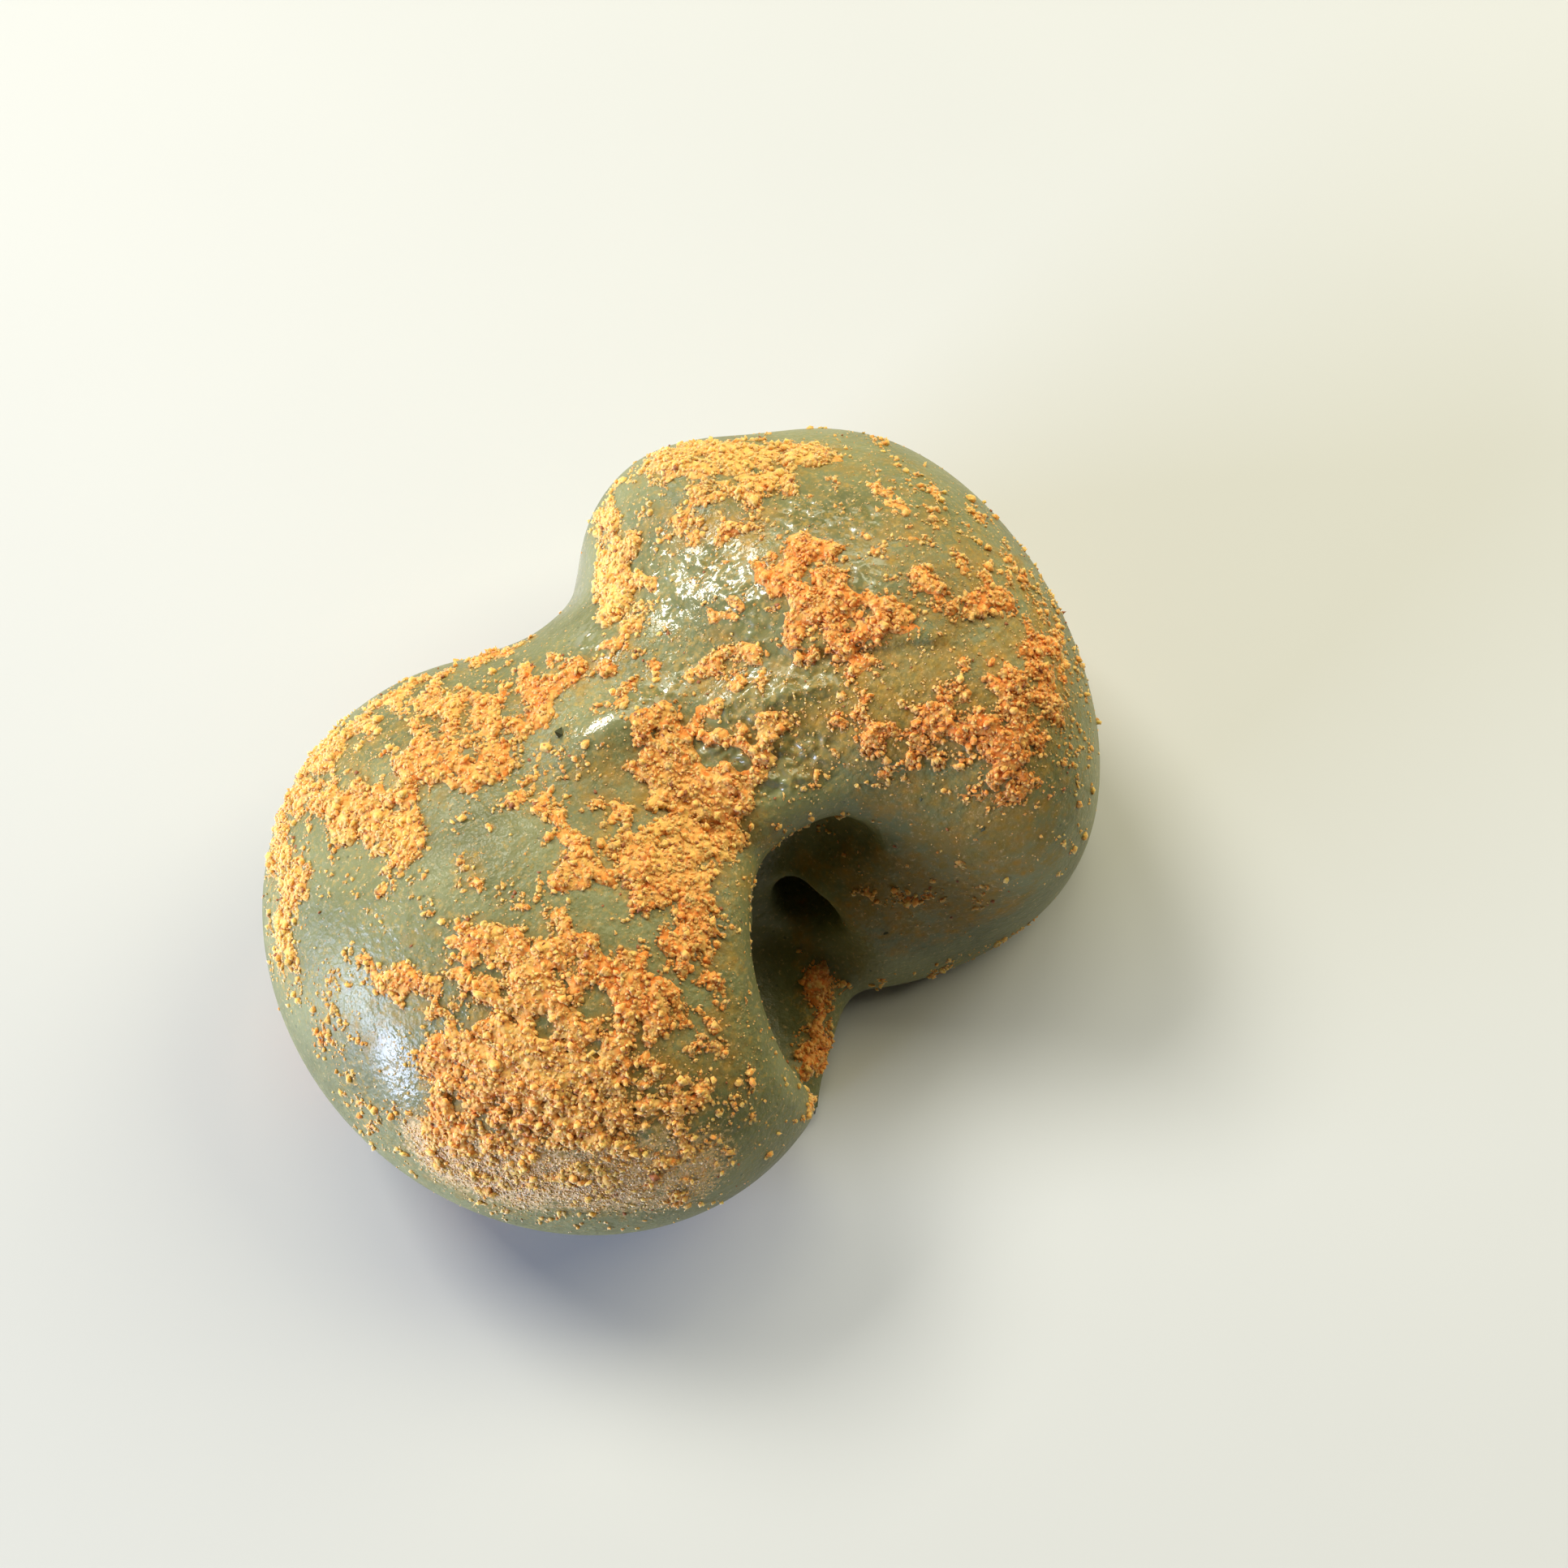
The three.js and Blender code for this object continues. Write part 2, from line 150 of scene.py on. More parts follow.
# Gaps that the flour leaves inside its patches.
BARE_STROKES = [
    (590, 1275, 625, 1300, 8, 1.0), (615, 1300, 640, 1315, 7, 1.0), (670, 1262, 690, 1270, 8, 1.0),
    (705, 1258, 740, 1250, 8, 1.0), (808, 1290, 850, 1300, 11, 0.9), (800, 1335, 815, 1325, 8, 0.9),
    (735, 1292, 765, 1285, 7, 0.8), (520, 1235, 540, 1247, 7, 0.8), (695, 1318, 705, 1325, 5, 0.9),
    (660, 1420, 665, 1450, 6, 0.8), (545, 962, 560, 985, 8, 1.0), (430, 905, 450, 918, 8, 0.9),
    (455, 990, 462, 1000, 5, 0.8), (780, 635, 870, 628, 15, 1.0), (905, 635, 950, 640, 10, 0.8),
    (700, 1040, 715, 1050, 6, 0.8), (735, 1085, 745, 1100, 7, 0.8), (805, 1120, 812, 1130, 6, 0.8),
    (690, 1110, 700, 1125, 6, 0.7), (775, 960, 790, 975, 7, 0.7), (1210, 900, 1225, 920, 7, 0.7),
    (740, 1200, 750, 1240, 6, 0.7), (600, 1185, 610, 1200, 5, 0.7),
    (985, 830, 1060, 832, 24, 1.0), (1060, 826, 1150, 814, 22, 1.0), (690, 915, 770, 890, 20, 1.0),
    (770, 890, 800, 865, 12, 1.0), (772, 905, 790, 935, 14, 1.0), (835, 895, 845, 910, 7, 0.9),
    (812, 925, 820, 932, 6, 0.9),
]
# Thin damp smears of flour, which only tint the dough. On the front of the right lobe and in the pocket
# they are also painted shade, darkening places that lie in shade.
FILM_AND_SHADE_STROKES = [
    (850, 660, 930, 650, 40, 0.9), (800, 650, 960, 690, 45, 0.7), (1050, 850, 1200, 840, 60, 1.0),
    (900, 780, 990, 840, 40, 0.6), (1180, 900, 1280, 980, 45, 0.7), (995, 1068, 1100, 1090, 22, 0.9),
    (560, 1440, 760, 1450, 60, 0.8), (880, 1180, 890, 1330, 35, 0.6), (1060, 660, 1220, 720, 60, 0.75),
    (820, 900, 960, 930, 45, 0.7), (750, 975, 900, 1005, 60, 0.7), (500, 1230, 800, 1260, 80, 0.5),
    (1150, 740, 1260, 800, 60, 0.9), (980, 915, 1120, 900, 40, 1.1), (860, 600, 1120, 580, 40, 0.5),
    (420, 940, 560, 900, 70, 0.6), (1080, 1110, 1190, 1100, 50, 1.15), (1250, 700, 1310, 860, 35, 0.7),
    # painted shade as well as smears: the strokes in x 985 to 1250, y 985 to 1190 darken the shaded front
    # of the right lobe and the pocket
    (640, 865, 740, 825, 34, 0.5), (820, 830, 900, 860, 40, 0.5), (1110, 1150, 1250, 1110, 35, 0.9),
    (1000, 825, 1240, 815, 45, 0.95), (1160, 1030, 1250, 1040, 60, 1.1),
    (1110, 985, 1240, 1000, 50, 0.8), (1050, 1060, 1140, 1060, 25, 0.9),
    (985, 1120, 1000, 1190, 22, 0.7), (600, 1340, 800, 1340, 100, 0.8),
    (960, 860, 1250, 900, 70, 0.8), (1150, 640, 1240, 700, 45, 0.65),
    (1000, 882, 1060, 888, 22, 1.3), (800, 960, 900, 1060, 60, 0.7),
]
# Wide, thin dusting: loose crumbs and specks lie there, apart from the patches.
DUST_STROKES = [
    (900, 640, 1250, 800, 150, 0.7), (1000, 880, 1250, 900, 90, 0.8), (400, 950, 650, 900, 110, 0.7),
    (640, 1200, 840, 1050, 150, 0.55), (600, 1350, 800, 1350, 150, 0.7), (350, 1000, 360, 1200, 40, 0.8),
    (400, 1220, 470, 1400, 50, 0.6), (1100, 1100, 1250, 1050, 80, 0.25), (1300, 800, 1330, 950, 30, 0.5),
    (600, 1485, 800, 1475, 36, 0.55), (1150, 1200, 1250, 1150, 25, 0.5), (1000, 560, 1250, 640, 60, 0.4),
    (860, 1150, 930, 1330, 35, 0.6), (860, 800, 1000, 930, 60, 0.8), (640, 880, 800, 820, 60, 0.7),
    (430, 1060, 560, 1180, 60, 0.45),
]
# Bare places where the dough is wet: up to 0.6 it shines, and above that it is wrinkled too.
WET_STROKES = [
    (880, 690, 930, 770, 45, 1.0), (805, 670, 830, 750, 24, 1.0), (980, 630, 1060, 640, 38, 1.0),
    (1064, 700, 1075, 725, 24, 1.0), (724, 785, 740, 800, 22, 1.0), (855, 822, 800, 862, 24, 1.0),
    (900, 872, 1010, 840, 32, 1.2), (728, 895, 762, 884, 24, 0.6), (785, 868, 800, 862, 12, 0.6),
    (960, 805, 970, 815, 16, 0.9),
    (880, 930, 1010, 925, 26, 1.5), (925, 975, 985, 950, 24, 1.5), (482, 1290, 492, 1345, 24, 0.45),
    (440, 1220, 460, 1250, 30, 0.15), (580, 1280, 650, 1310, 25, 0.8), (480, 1130, 520, 1140, 30, 0.25),
    (700, 600, 720, 720, 30, 0.4), (1100, 600, 1110, 620, 20, 0.5),
]
# Fine pale powder that no crumbs stand in.
POWDER_STROKES = [
    (550, 1428, 640, 1460, 39, 1.0), (640, 1446, 760, 1460, 39, 1.0), (760, 1440, 850, 1440, 45, 0.7),
    (800, 1480, 860, 1465, 25, 0.5), (520, 1400, 560, 1440, 25, 0.8),
]
# Where the flour is more yellow, and where it is more orange. This is partly the flour's own tone and
# partly painted light and shade: yellower on the upper-left edges that face the light, more orange on the
# shaded right shoulder and tail.
YELLOW_AND_LIT_STROKES = [
    (740, 640, 900, 570, 60, 1.0), (750, 700, 770, 760, 45, 0.9), (900, 570, 1000, 570, 40, 0.7),
    (340, 1000, 420, 900, 60, 0.7), (420, 900, 560, 840, 50, 0.3), (345, 1060, 350, 1200, 40, 0.8),
    (460, 1010, 500, 1030, 40, 0.5), (560, 1440, 760, 1460, 50, 0.7),
]
ORANGE_AND_SHADED_STROKES = [
    (980, 700, 1060, 780, 70, 0.8), (1060, 770, 1200, 760, 40, 0.7), (1260, 780, 1250, 960, 60, 1.0),
    (1000, 1200, 1000, 1380, 40, 1.0), (1050, 910, 1240, 910, 50, 0.9), (780, 1170, 900, 1260, 70, 0.5),
    (650, 860, 760, 810, 35, 0.5), (560, 1380, 640, 1400, 40, 0.5),
]
MUGWORT_SPECKS = [(1190, 765), (1212, 1022), (1090, 1150), (690, 905), (1135, 985)]

# ---- Sizes of what is drawn, in millimetres ---------------------------------------------
DOUGH_CELL = 0.42
CRUST_CELL = 0.33
CRUST_THIN = 0.12        # how high thin flour stands
CRUST_LEAST = 0.06       # and how high at least, before it runs out at its edge
CRUST_DEPTH = 0.36       # how much higher the middle of a thick clump stands
CRUST_LIMIT = 1.5        # no flour stands higher than this
CRUST_ROOT = 0.25        # how far a clump reaches into the dough
CRUST_RAGGED = 3.6       # a factor: how much the edge of a patch breaks up
POCKET_MIDDLE = (1, -13, 8)
POCKET_REACH = 8.5       # no flour but that of the strokes lies this near to the pocket's middle

# Loose flour: how many bits lie on the crust or in the powder and how many round it, their
# smallest and largest radius, and how much they are stretched.
FRINGE_PLACES = 110000   # places round the patches, of which the loose flour takes its share
CRUMBS = dict(on_crust=5400, around=4300, radii=(0.12, 0.36), stretch=0.45)
GRAINS = dict(on_crust=11500, around=12800, radii=(0.09, 0.25), stretch=0.35)
POWDER_BITS = dict(in_powder=6500, around=9000, radii=(0.05, 0.14), stretch=0.4)
HUSKS = dict(on_crust=600, around=300, radii=(0.08, 0.26), stretch=0.5)
LEAF_BITS = dict(radii=(0.25, 0.4), stretch=0.6)

# Each noise: how large its lumps are, and a number of its own so that no two are alike.
NOISE = dict(
    edge=(3.2, 11), lace=(1.25, 15), fray=(0.75, 16),   # the ragged edge of a patch of flour
    clump=(1.9, 21), crumb=(0.95, 31),                  # what the patch is made of
    fringe=(0.7, 17),                                   # where loose flour lies round it
    back_patch=(6.5, 51),                               # patches that no stroke reaches
    tone=(5, 61),                                       # paler and deeper places of the crust
)

# ---- Light, in metres and watts ---------------------------------------------------------
# Soft panels: azimuth in degrees from the top of the picture, positive to its right.
LIGHTS = dict(
    window_low=dict(azimuth=-115, elevation=12, size=(0.80, 0.44), power=19.6, colour=(0.86, 0.99, 1.38)),
    window_high=dict(azimuth=-42, elevation=44, size=(0.44, 0.34), power=11.8, colour=(1, 0.985, 0.89)),
    top=dict(azimuth=0, elevation=56, size=(0.60, 0.44), power=4.5, colour=(1, 0.97, 0.72)),
    room=dict(azimuth=55, elevation=40, size=(0.80, 0.68), power=9.4, colour=(1, 0.955, 0.68)),
)
LIGHT_DISTANCE = 1.2
LIGHT_AIM = np.array([0, 0, 0.015])
WORLD_STRENGTH = 0.034
FLOOR_HALF = 1.5


# ---- Small helpers ----------------------------------------------------------------------
def melt(a, b, k):
    """Union of two fields that runs into one over the width k."""
    overlap = np.maximum(k - np.abs(a - b), 0) / k
    return np.minimum(a, b) - overlap * overlap * k / 4


def press(a, b, k):
    """What is left of field a when hollow b is pressed out of it."""
    return -melt(-a, b, k)


def clamp01(value):
    return np.clip(value, 0, 1)


def smooth(value):
    value = clamp01(value)
    return value * value * (3 - 2 * value)


def into_turned(dx, dy, turn):
    cos, sin = math.cos(math.radians(turn)), math.sin(math.radians(turn))
    return dx * cos + dy * sin, dy * cos - dx * sin


def ellipsoid(p, at, half, turn):
    u, v = into_turned(p[:, 0] - at[0], p[:, 1] - at[1], turn)
    w = p[:, 2] - at[2]
    u, v, w = u / half[0], v / half[1], w / half[2]
    reach = np.sqrt(u * u + v * v + w * w)
    slope = np.sqrt((u / half[0]) ** 2 + (v / half[1]) ** 2 + (w / half[2]) ** 2)
    return reach * (reach - 1) / (slope + 1e-9)


def along_line(p, start, end):
    """How far along a straight line, from 0 to 1, each point lies, and how far from it."""
    start, end = np.asarray(start, p.dtype), np.asarray(end, p.dtype)
    line = end - start
    t = clamp01((p - start) @ line / (line @ line + 1e-12))
    off = p - start - t[:, None] * line
    return t, np.sqrt(np.einsum("ij,ij->i", off, off))


def rod(p, start, end, radii):
    t, away = along_line(p, start, end)
    return away - (radii[0] + (radii[1] - radii[0]) * t)


def bent_rod(p, line, radii):
    distance = None
    for n in range(len(line) - 1):
        piece = rod(p, line[n], line[n + 1], radii[n:n + 2])
        distance = piece if distance is None else melt(distance, piece, ROD_MELT)
    return distance


def top_relief(p):
    """How far the crease (positive) or what is raised (negative) moves the surface inwards."""
    plan = p[:, :2]
    pieces = zip(CREASE_LINE[:-1], CREASE_LINE[1:])
    nearest = np.min([along_line(plan, a, b)[1] for a, b in pieces], axis=0)
    crease = CREASE_DEPTH * np.exp(-((nearest / CREASE_WIDTH) ** 2))
    raised = swelling(p, **BUMP) + swelling(p, **RIDGE) + fold_step(plan)
    return clamp01((p[:, 2] - TOP_RELIEF_FROM) / TOP_RELIEF_FADE) * (crease - raised)


def swelling(p, at, half, turn, height):
    u, v = into_turned(p[:, 0] - at[0], p[:, 1] - at[1], turn)
    return height * np.exp(-((u / half[0]) ** 2) - (v / half[1]) ** 2)


def fold_step(plan):
    """A low step along the crease, where the upper layer of dough ends."""
    start, end = np.array(FOLD_STEP["start"]), np.array(FOLD_STEP["end"])
    ahead = (end - start) / np.linalg.norm(end - start)
    u, v = (plan - start) @ ahead, (plan - start) @ np.array([-ahead[1], ahead[0]])
    along = smooth(u / 2 + 0.5) * smooth((np.linalg.norm(end - start) - u) / 2 + 0.5)
    side = smooth(v / FOLD_STEP["edge"] + 0.5) * np.exp(-((np.maximum(v, 0) / FOLD_STEP["width"]) ** 2))
    return FOLD_STEP["height"] * along * side


def dough(p):
    """Distance to the surface of the dough, negative inside it.

    Each mass melts in, and each hollow is pressed in, over the width that is given last."""
    right = melt(ellipsoid(p, **RIGHT_LOBE), ellipsoid(p, **BACK_CORNER), MELT + 2)
    field = melt(ellipsoid(p, **LEFT_LOBE), right, MELT)
    field = melt(field, ellipsoid(p, **BRIDGE), MELT)
    field = melt(field, ellipsoid(p, **CROWN), MELT + 1)
    field = press(field, ellipsoid(p, **NOTCH), 2)
    field = melt(field, bent_rod(p, ROLL_LINE, ROLL_RADII), 2.5)
    field = melt(field, bent_rod(p, LIP_LINE, LIP_RADII), 1.5)
    field = melt(field, melt(ellipsoid(p, **SKIRT), ellipsoid(p, **CHEEK), MELT), MELT - 1)
    field = press(field, ellipsoid(p, **CAVE), 2)
    field = press(field, bent_rod(p, UNDERCUT_LINE, UNDERCUT_RADII), 1.5)
    field = melt(field, melt(rod(p, **TAIL), rod(p, **LOWER_LAYER), 2), 2)
    field = press(field, rod(p, **HOLE), 1.4)
    return press(field + top_relief(p), p[:, 2], BOTTOM_ROUNDING)


def gradient(field, p, step=0.05):
    value = field(p)
    ahead = [field(p + step * np.eye(3, dtype=p.dtype)[axis]) for axis in range(3)]
    return value, np.stack([(a - value) / step for a in ahead], axis=1)


# ---- Noise ------------------------------------------------------------------------------
HASH_FACTORS = np.array([374761393, 668265263, 2246822519], np.uint32)


def lattice_bits(cell, seed):
    """A repeatable random whole number for each cell: large odd factors mix its bits."""
    x, y, z = (cell.astype(np.int64).astype(np.uint32) * HASH_FACTORS).T
    bits = x ^ y ^ (z + np.uint32(seed * 7919))
    for shift, factor in ((13, 1274126177), (15, 2654435761)):
        bits = (bits ^ (bits >> np.uint32(shift))) * np.uint32(factor)
    return bits ^ (bits >> np.uint32(16))


def lumps(p, size, seed):
    """Smooth noise from 0 to 1 with lumps of the given size."""
    base = np.floor(p / size)
    u, v, w = smooth(p / size - base).T
    total = np.zeros(len(p), np.float32)
    for n in range(8):
        corner = np.array([n & 1, n >> 1 & 1, n >> 2 & 1])
        share = (u if corner[0] else 1 - u) * (v if corner[1] else 1 - v) * (w if corner[2] else 1 - w)
        total += share * (lattice_bits(base + corner, seed) * np.float32(2.0**-32))
    return total


def rough_lumps(p, size, seed, layers=3):
    """Lumps with smaller lumps on them, about 0.5 in the mean."""
    total, weight = 0, 0
    for n in range(layers):
        total = total + lumps(p, size / 2.1**n, seed + n) / 1.7**n
        weight += 1 / 1.7**n
    return total / weight


def to_grain(p, size, seed):
    """Distance to the nearest of many scattered points, one to a cube of the given size, in sizes."""
    base = np.floor(p / size)
    inside = (p / size - base).astype(np.float32)
    best = np.full(len(p), 9, np.float32)
    for n in range(27):
        step = np.array([n % 3, n // 3 % 3, n // 9]) - 1
        bits = lattice_bits(base + step, seed)
        away = 0
        for axis in range(3):
            place = (bits >> np.uint32(10 * axis) & np.uint32(1023)) * np.float32(1 / 1023)
            away = away + (place + np.float32(step[axis]) - inside[:, axis]) ** 2
        best = np.minimum(best, away)
    return np.sqrt(best)


# ---- Drawing a field's zero surface -----------------------------------------------------
def all_steps(counts):
    return np.stack(np.meshgrid(*[np.arange(n) for n in counts], indexing="ij"), -1).reshape(-1, 3)


def fine_lattice(cell, read, wanted, block=4):
    """Fine lattice points, as whole numbers, in the coarse cubes that the test wants, each with
    the values that read gives at the cubes' corners, blended between them."""
    counts = np.ceil((GRID_HIGH - GRID_LOW) / (cell * block)).astype(int) + 1
    stride = np.array([counts[1] * counts[2], counts[2], 1])
    values = read((GRID_LOW + all_steps(counts) * cell * block).astype(np.float32))
    cubes = all_steps(counts - 1)
    corners = all_steps((2, 2, 2))
    ids = (cubes @ stride)[:, None] + corners @ stride
    keep = wanted(*[value[ids] for value in values])
    inside = all_steps((block,) * 3)
    t = inside / block
    share = np.prod(np.where(corners[None] == 1, t[:, None], 1 - t[:, None]), axis=2).astype(np.float32)
    fine = [(value[ids[keep]] @ share.T).ravel() for value in values]
    return (cubes[keep][:, None] * block + inside[None]).reshape(-1, 3), *fine


def surface_net(value, lattice, cell):
    """Corners and four-sided faces of the values' zero surface, one corner to a crossed cell."""
    margin = 2
    size = np.ceil((GRID_HIGH - GRID_LOW) / cell).astype(np.int64) + 4 * margin
    stride = np.array([1, size[0], size[0] * size[1]])
    ids = (lattice + margin) @ stride
    order = np.argsort(ids)
    ids, lattice, value = ids[order], lattice[order], value[order]
    points = GRID_LOW + lattice * cell
    cells, places = [], []
    for axis in range(3):
        found = np.minimum(np.searchsorted(ids, ids + stride[axis]), len(ids) - 1)
        crossed = (ids[found] == ids + stride[axis]) & ((value < 0) != (value[found] < 0))
        here, there = np.flatnonzero(crossed), found[crossed]
        place = points[here]
        place[:, axis] += cell * value[here] / (value[here] - value[there])
        u, v = stride[(axis + 1) % 3], stride[(axis + 2) % 3]
        ring = ids[here][:, None] - np.array([u + v, v, 0, u])
        inwards = value[here] >= 0
        ring[inwards] = ring[inwards][:, ::-1]
        cells.append(ring.ravel())
        places.append(np.repeat(place, 4, axis=0))
    names, corner = np.unique(np.concatenate(cells), return_inverse=True)
    places = np.concatenate(places)
    count = np.bincount(corner, minlength=len(names))
    corners = np.stack([np.bincount(corner, places[:, a], len(names)) / count for a in range(3)], 1)
    return corners, corner.reshape(-1, 4)


def slide_onto(field, points, rounds=2):
    """Moves points along the slope of the field until they lie on its surface."""
    for _ in range(rounds):
        value, slope = gradient(field, points)
        points = points - slope * (value / (np.einsum("ij,ij->i", slope, slope) + 1e-6))[:, None]
    return points


# ---- From the photograph's pixels to the dough ------------------------------------------
def camera_axes():
    back = CAMERA_AT - CAMERA_AIM
    back /= np.linalg.norm(back)
    right = np.cross([0, 0, 1], back)
    right /= np.linalg.norm(right)
    return right, np.cross(back, right), back


def onto_dough(pixels):
    """The points of the dough that the camera sees at these pixels of the photograph."""
    right, up, back = camera_axes()
    offset = (np.asarray(pixels, float) - PHOTO_SIZE / 2) / FOCAL_PIXELS
    ray = offset[:, :1] * right - offset[:, 1:] * up - back
    ray /= np.linalg.norm(ray, axis=1)[:, None]
    far = np.full(len(ray), RAY_START)
    for _ in range(RAY_STEPS):
        far += RAY_SHARE * np.minimum(dough(CAMERA_AT + ray * far[:, None]), RAY_LONGEST)
        far = np.minimum(far, (CAMERA_AT[2] - RAY_LOWEST) / -ray[:, 2])
    return CAMERA_AT + ray * far[:, None]


def read_strokes(strokes):
    """Strokes in pixels become strokes in millimetres on the dough."""
    table = np.array(strokes, float)
    starts, ends = onto_dough(table[:, :2]), onto_dough(table[:, 2:4])
    scale = np.linalg.norm(starts - CAMERA_AT, axis=1) / FOCAL_PIXELS
    return list(zip(starts, ends, table[:, 4] * scale, table[:, 5]))


def painted(p, strokes):
    """How thickly the strokes cover each point, from 0 to 1, soft at their edges."""
    cover = np.zeros(len(p), np.float32)
    for start, end, radius, amount in strokes:
        away = along_line(p, start, end)[1]
        cover = np.maximum(cover, amount * clamp01((STROKE_REACH - away / radius) / STROKE_SOFT))
    return cover


def unseen(p, base):
    """1 where the dough faces away from the camera, 0 where it can be seen, 0 in the pocket."""
    view = CAMERA_AT.astype(p.dtype) - p
    view /= np.linalg.norm(view, axis=1)[:, None]
    facing = dough(p + 1.5 * view) - base
    away = clamp01((-0.1 - facing) / 0.5)
    pocket = np.linalg.norm(p - np.array(POCKET_MIDDLE, p.dtype), axis=1)
    return away * smooth((pocket - POCKET_REACH) / 3)


def flour_cover(p, base, strokes):
    """Cover from the strokes, and patches of the same kind on the sides that no stroke reaches."""
    patches = smooth((rough_lumps(p, *NOISE["back_patch"]) - 0.46) / 0.14)
    patches = patches * clamp01((p[:, 2] - 1) / 4)
    seen = painted(p, strokes["flour"]) * (1 - 0.75 * painted(p, strokes["bare"]))
    return np.maximum(seen, 0.85 * patches * unseen(p, base))


# ---- Meshes -----------------------------------------------------------------------------
def add_mesh(name, points, faces, material, smooth_shaded=True, **values):
    """A piece of the cake from points in field millimetres, riding on the body."""
    low, high = [np.array(corner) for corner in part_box("mochi")]
    place = np.clip((points + FIELD_TO_ROW) * MM, low, high)
    mesh = bpy.data.meshes.new(name)
    mesh.vertices.add(len(place))
    mesh.vertices.foreach_set("co", place.astype(np.float32).ravel())
    mesh.loops.add(faces.size)
    mesh.loops.foreach_set("vertex_index", faces.astype(np.int32).ravel())
    mesh.polygons.add(len(faces))
    mesh.polygons.foreach_set("loop_start", np.arange(0, faces.size, faces.shape[1], dtype=np.int32))
    mesh.polygons.foreach_set("use_smooth", np.full(len(faces), smooth_shaded))
    mesh.update(calc_edges=True)
    mesh.validate()
    for key, value in values.items():
        mesh.attributes.new(key, "FLOAT", "POINT").data.foreach_set("value", value.astype(np.float32))
    mesh.materials.append(material)
    piece = bpy.data.objects.new(name, mesh)
    bpy.context.scene.collection.objects.link(piece)
    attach(piece, "root")
    return piece


# ---- Shader helpers ---------------------------------------------------------------------
class Shader:
    """A material under construction: nodes are added by kind and linked by socket."""

    def __init__(self, name):
        self.material = bpy.data.materials.new(name)
        self.material.use_nodes = True
        self.tree = self.material.node_tree
        self.surface = self.tree.nodes["Principled BSDF"]
        self.place = self.add("ShaderNodeTexCoord").outputs["Object"]

    def add(self, kind, **settings):
        node = self.tree.nodes.new(kind)
        for key, value in settings.items():
            setattr(node, key, value)
        return node

    def put(self, socket, value):
        if isinstance(value, bpy.types.NodeSocket):
            self.tree.links.new(value, socket)
        else:
            socket.default_value = value

    def set(self, **values):
        for key, value in values.items():
            self.put(self.surface.inputs[key.replace("_", " ")], value)

    def noise(self, size_mm, detail=2.0, roughness=0.5):
        node = self.add("ShaderNodeTexNoise")
        self.put(node.inputs["Vector"], self.place)
        self.put(node.inputs["Scale"], 1 / (size_mm * MM))
        self.put(node.inputs["Detail"], detail)
        self.put(node.inputs["Roughness"], roughness)
        return node.outputs["Fac"]

    def cells(self, size_mm):
        node = self.add("ShaderNodeTexVoronoi")
        self.put(node.inputs["Vector"], self.place)
        self.put(node.inputs["Scale"], 1 / (size_mm * MM))
        return node.outputs["Distance"]

    def grains(self, size_mm):
        """Uneven cells: how far each point is from its cell's middle, and a random value per cell."""
        wobble = self.add("ShaderNodeTexNoise")
        self.put(wobble.inputs["Vector"], self.place)
        self.put(wobble.inputs["Scale"], 1 / (size_mm * MM))
        scaled = self.add("ShaderNodeVectorMath", operation="MULTIPLY_ADD")
        self.put(scaled.inputs[0], wobble.outputs["Color"])
        self.put(scaled.inputs[1], (0.9 * size_mm * MM,) * 3)
        self.put(scaled.inputs[2], self.place)
        node = self.add("ShaderNodeTexVoronoi")
        self.put(node.inputs["Vector"], scaled.outputs[0])
        self.put(node.inputs["Scale"], 1 / (size_mm * MM))
        return node.outputs["Distance"], node.outputs["Color"]

    def value(self, name):
        return self.add("ShaderNodeAttribute", attribute_name=name).outputs["Fac"]

    def math(self, operation, a, b=0.0, clamp=False):
        node = self.add("ShaderNodeMath", operation=operation, use_clamp=clamp)
        self.put(node.inputs[0], a)
        self.put(node.inputs[1], b)
        return node.outputs[0]

    def span(self, value, low, high, to_low=0.0, to_high=1.0):
        """The value stretched from low..high to to_low..to_high, and held at both ends."""
        node = self.add("ShaderNodeMapRange", clamp=True)
        for socket, given in zip(node.inputs, (value, low, high, to_low, to_high)):
            self.put(socket, given)
        return node.outputs[0]

    def mix(self, share, a, b):
        """Colour a where the share is 0, and colour b where it is 1."""
        node = self.add("ShaderNodeMix", data_type="RGBA")
        self.put(node.inputs[0], share)
        self.put(node.inputs[6], a if isinstance(a, bpy.types.NodeSocket) else (*a, 1))
        self.put(node.inputs[7], b if isinstance(b, bpy.types.NodeSocket) else (*b, 1))
        return node.outputs[2]

    def bump(self, height, depth_mm, under=None):
        """Relief of the given depth, on top of the relief under it."""
        node = self.add("ShaderNodeBump")
        self.put(node.inputs["Height"], height)
        self.put(node.inputs["Distance"], self.math("MULTIPLY", depth_mm, MM))
        if under is not None:
            self.put(node.inputs["Normal"], under)
        return node.outputs["Normal"]


# ---- Materials --------------------------------------------------------------------------
DOUGH_DEEP = (0.122, 0.124, 0.038)
DOUGH_PALE = (0.234, 0.236, 0.097)
FILM_AND_SHADE_OCHRE = (0.285, 0.180, 0.021)
FILM_AND_SHADE_ORANGE = (0.41, 0.208, 0.025)
FILM_BRIGHT = (0.70, 0.39, 0.065)
POWDER = (1.0, 0.67, 0.32)
MUGWORT_DARK = (0.05, 0.06, 0.03)
FLOUR_PALE = (1.0, 0.56, 0.145)
FLOUR_MAIN = (1.0, 0.465, 0.122)
FLOUR_DEEP = (0.92, 0.27, 0.045)
POWDER_PALE = (1.0, 0.70, 0.36)
HUSK_BROWN = (0.25, 0.075, 0.02)
HUSK_PALE = (0.45, 0.16, 0.05)
LEAF_PALE = (0.09, 0.10, 0.05)
FLOOR_PALE = (0.58, 0.58, 0.565)
FLOOR_GREY = (0.56, 0.56, 0.548)


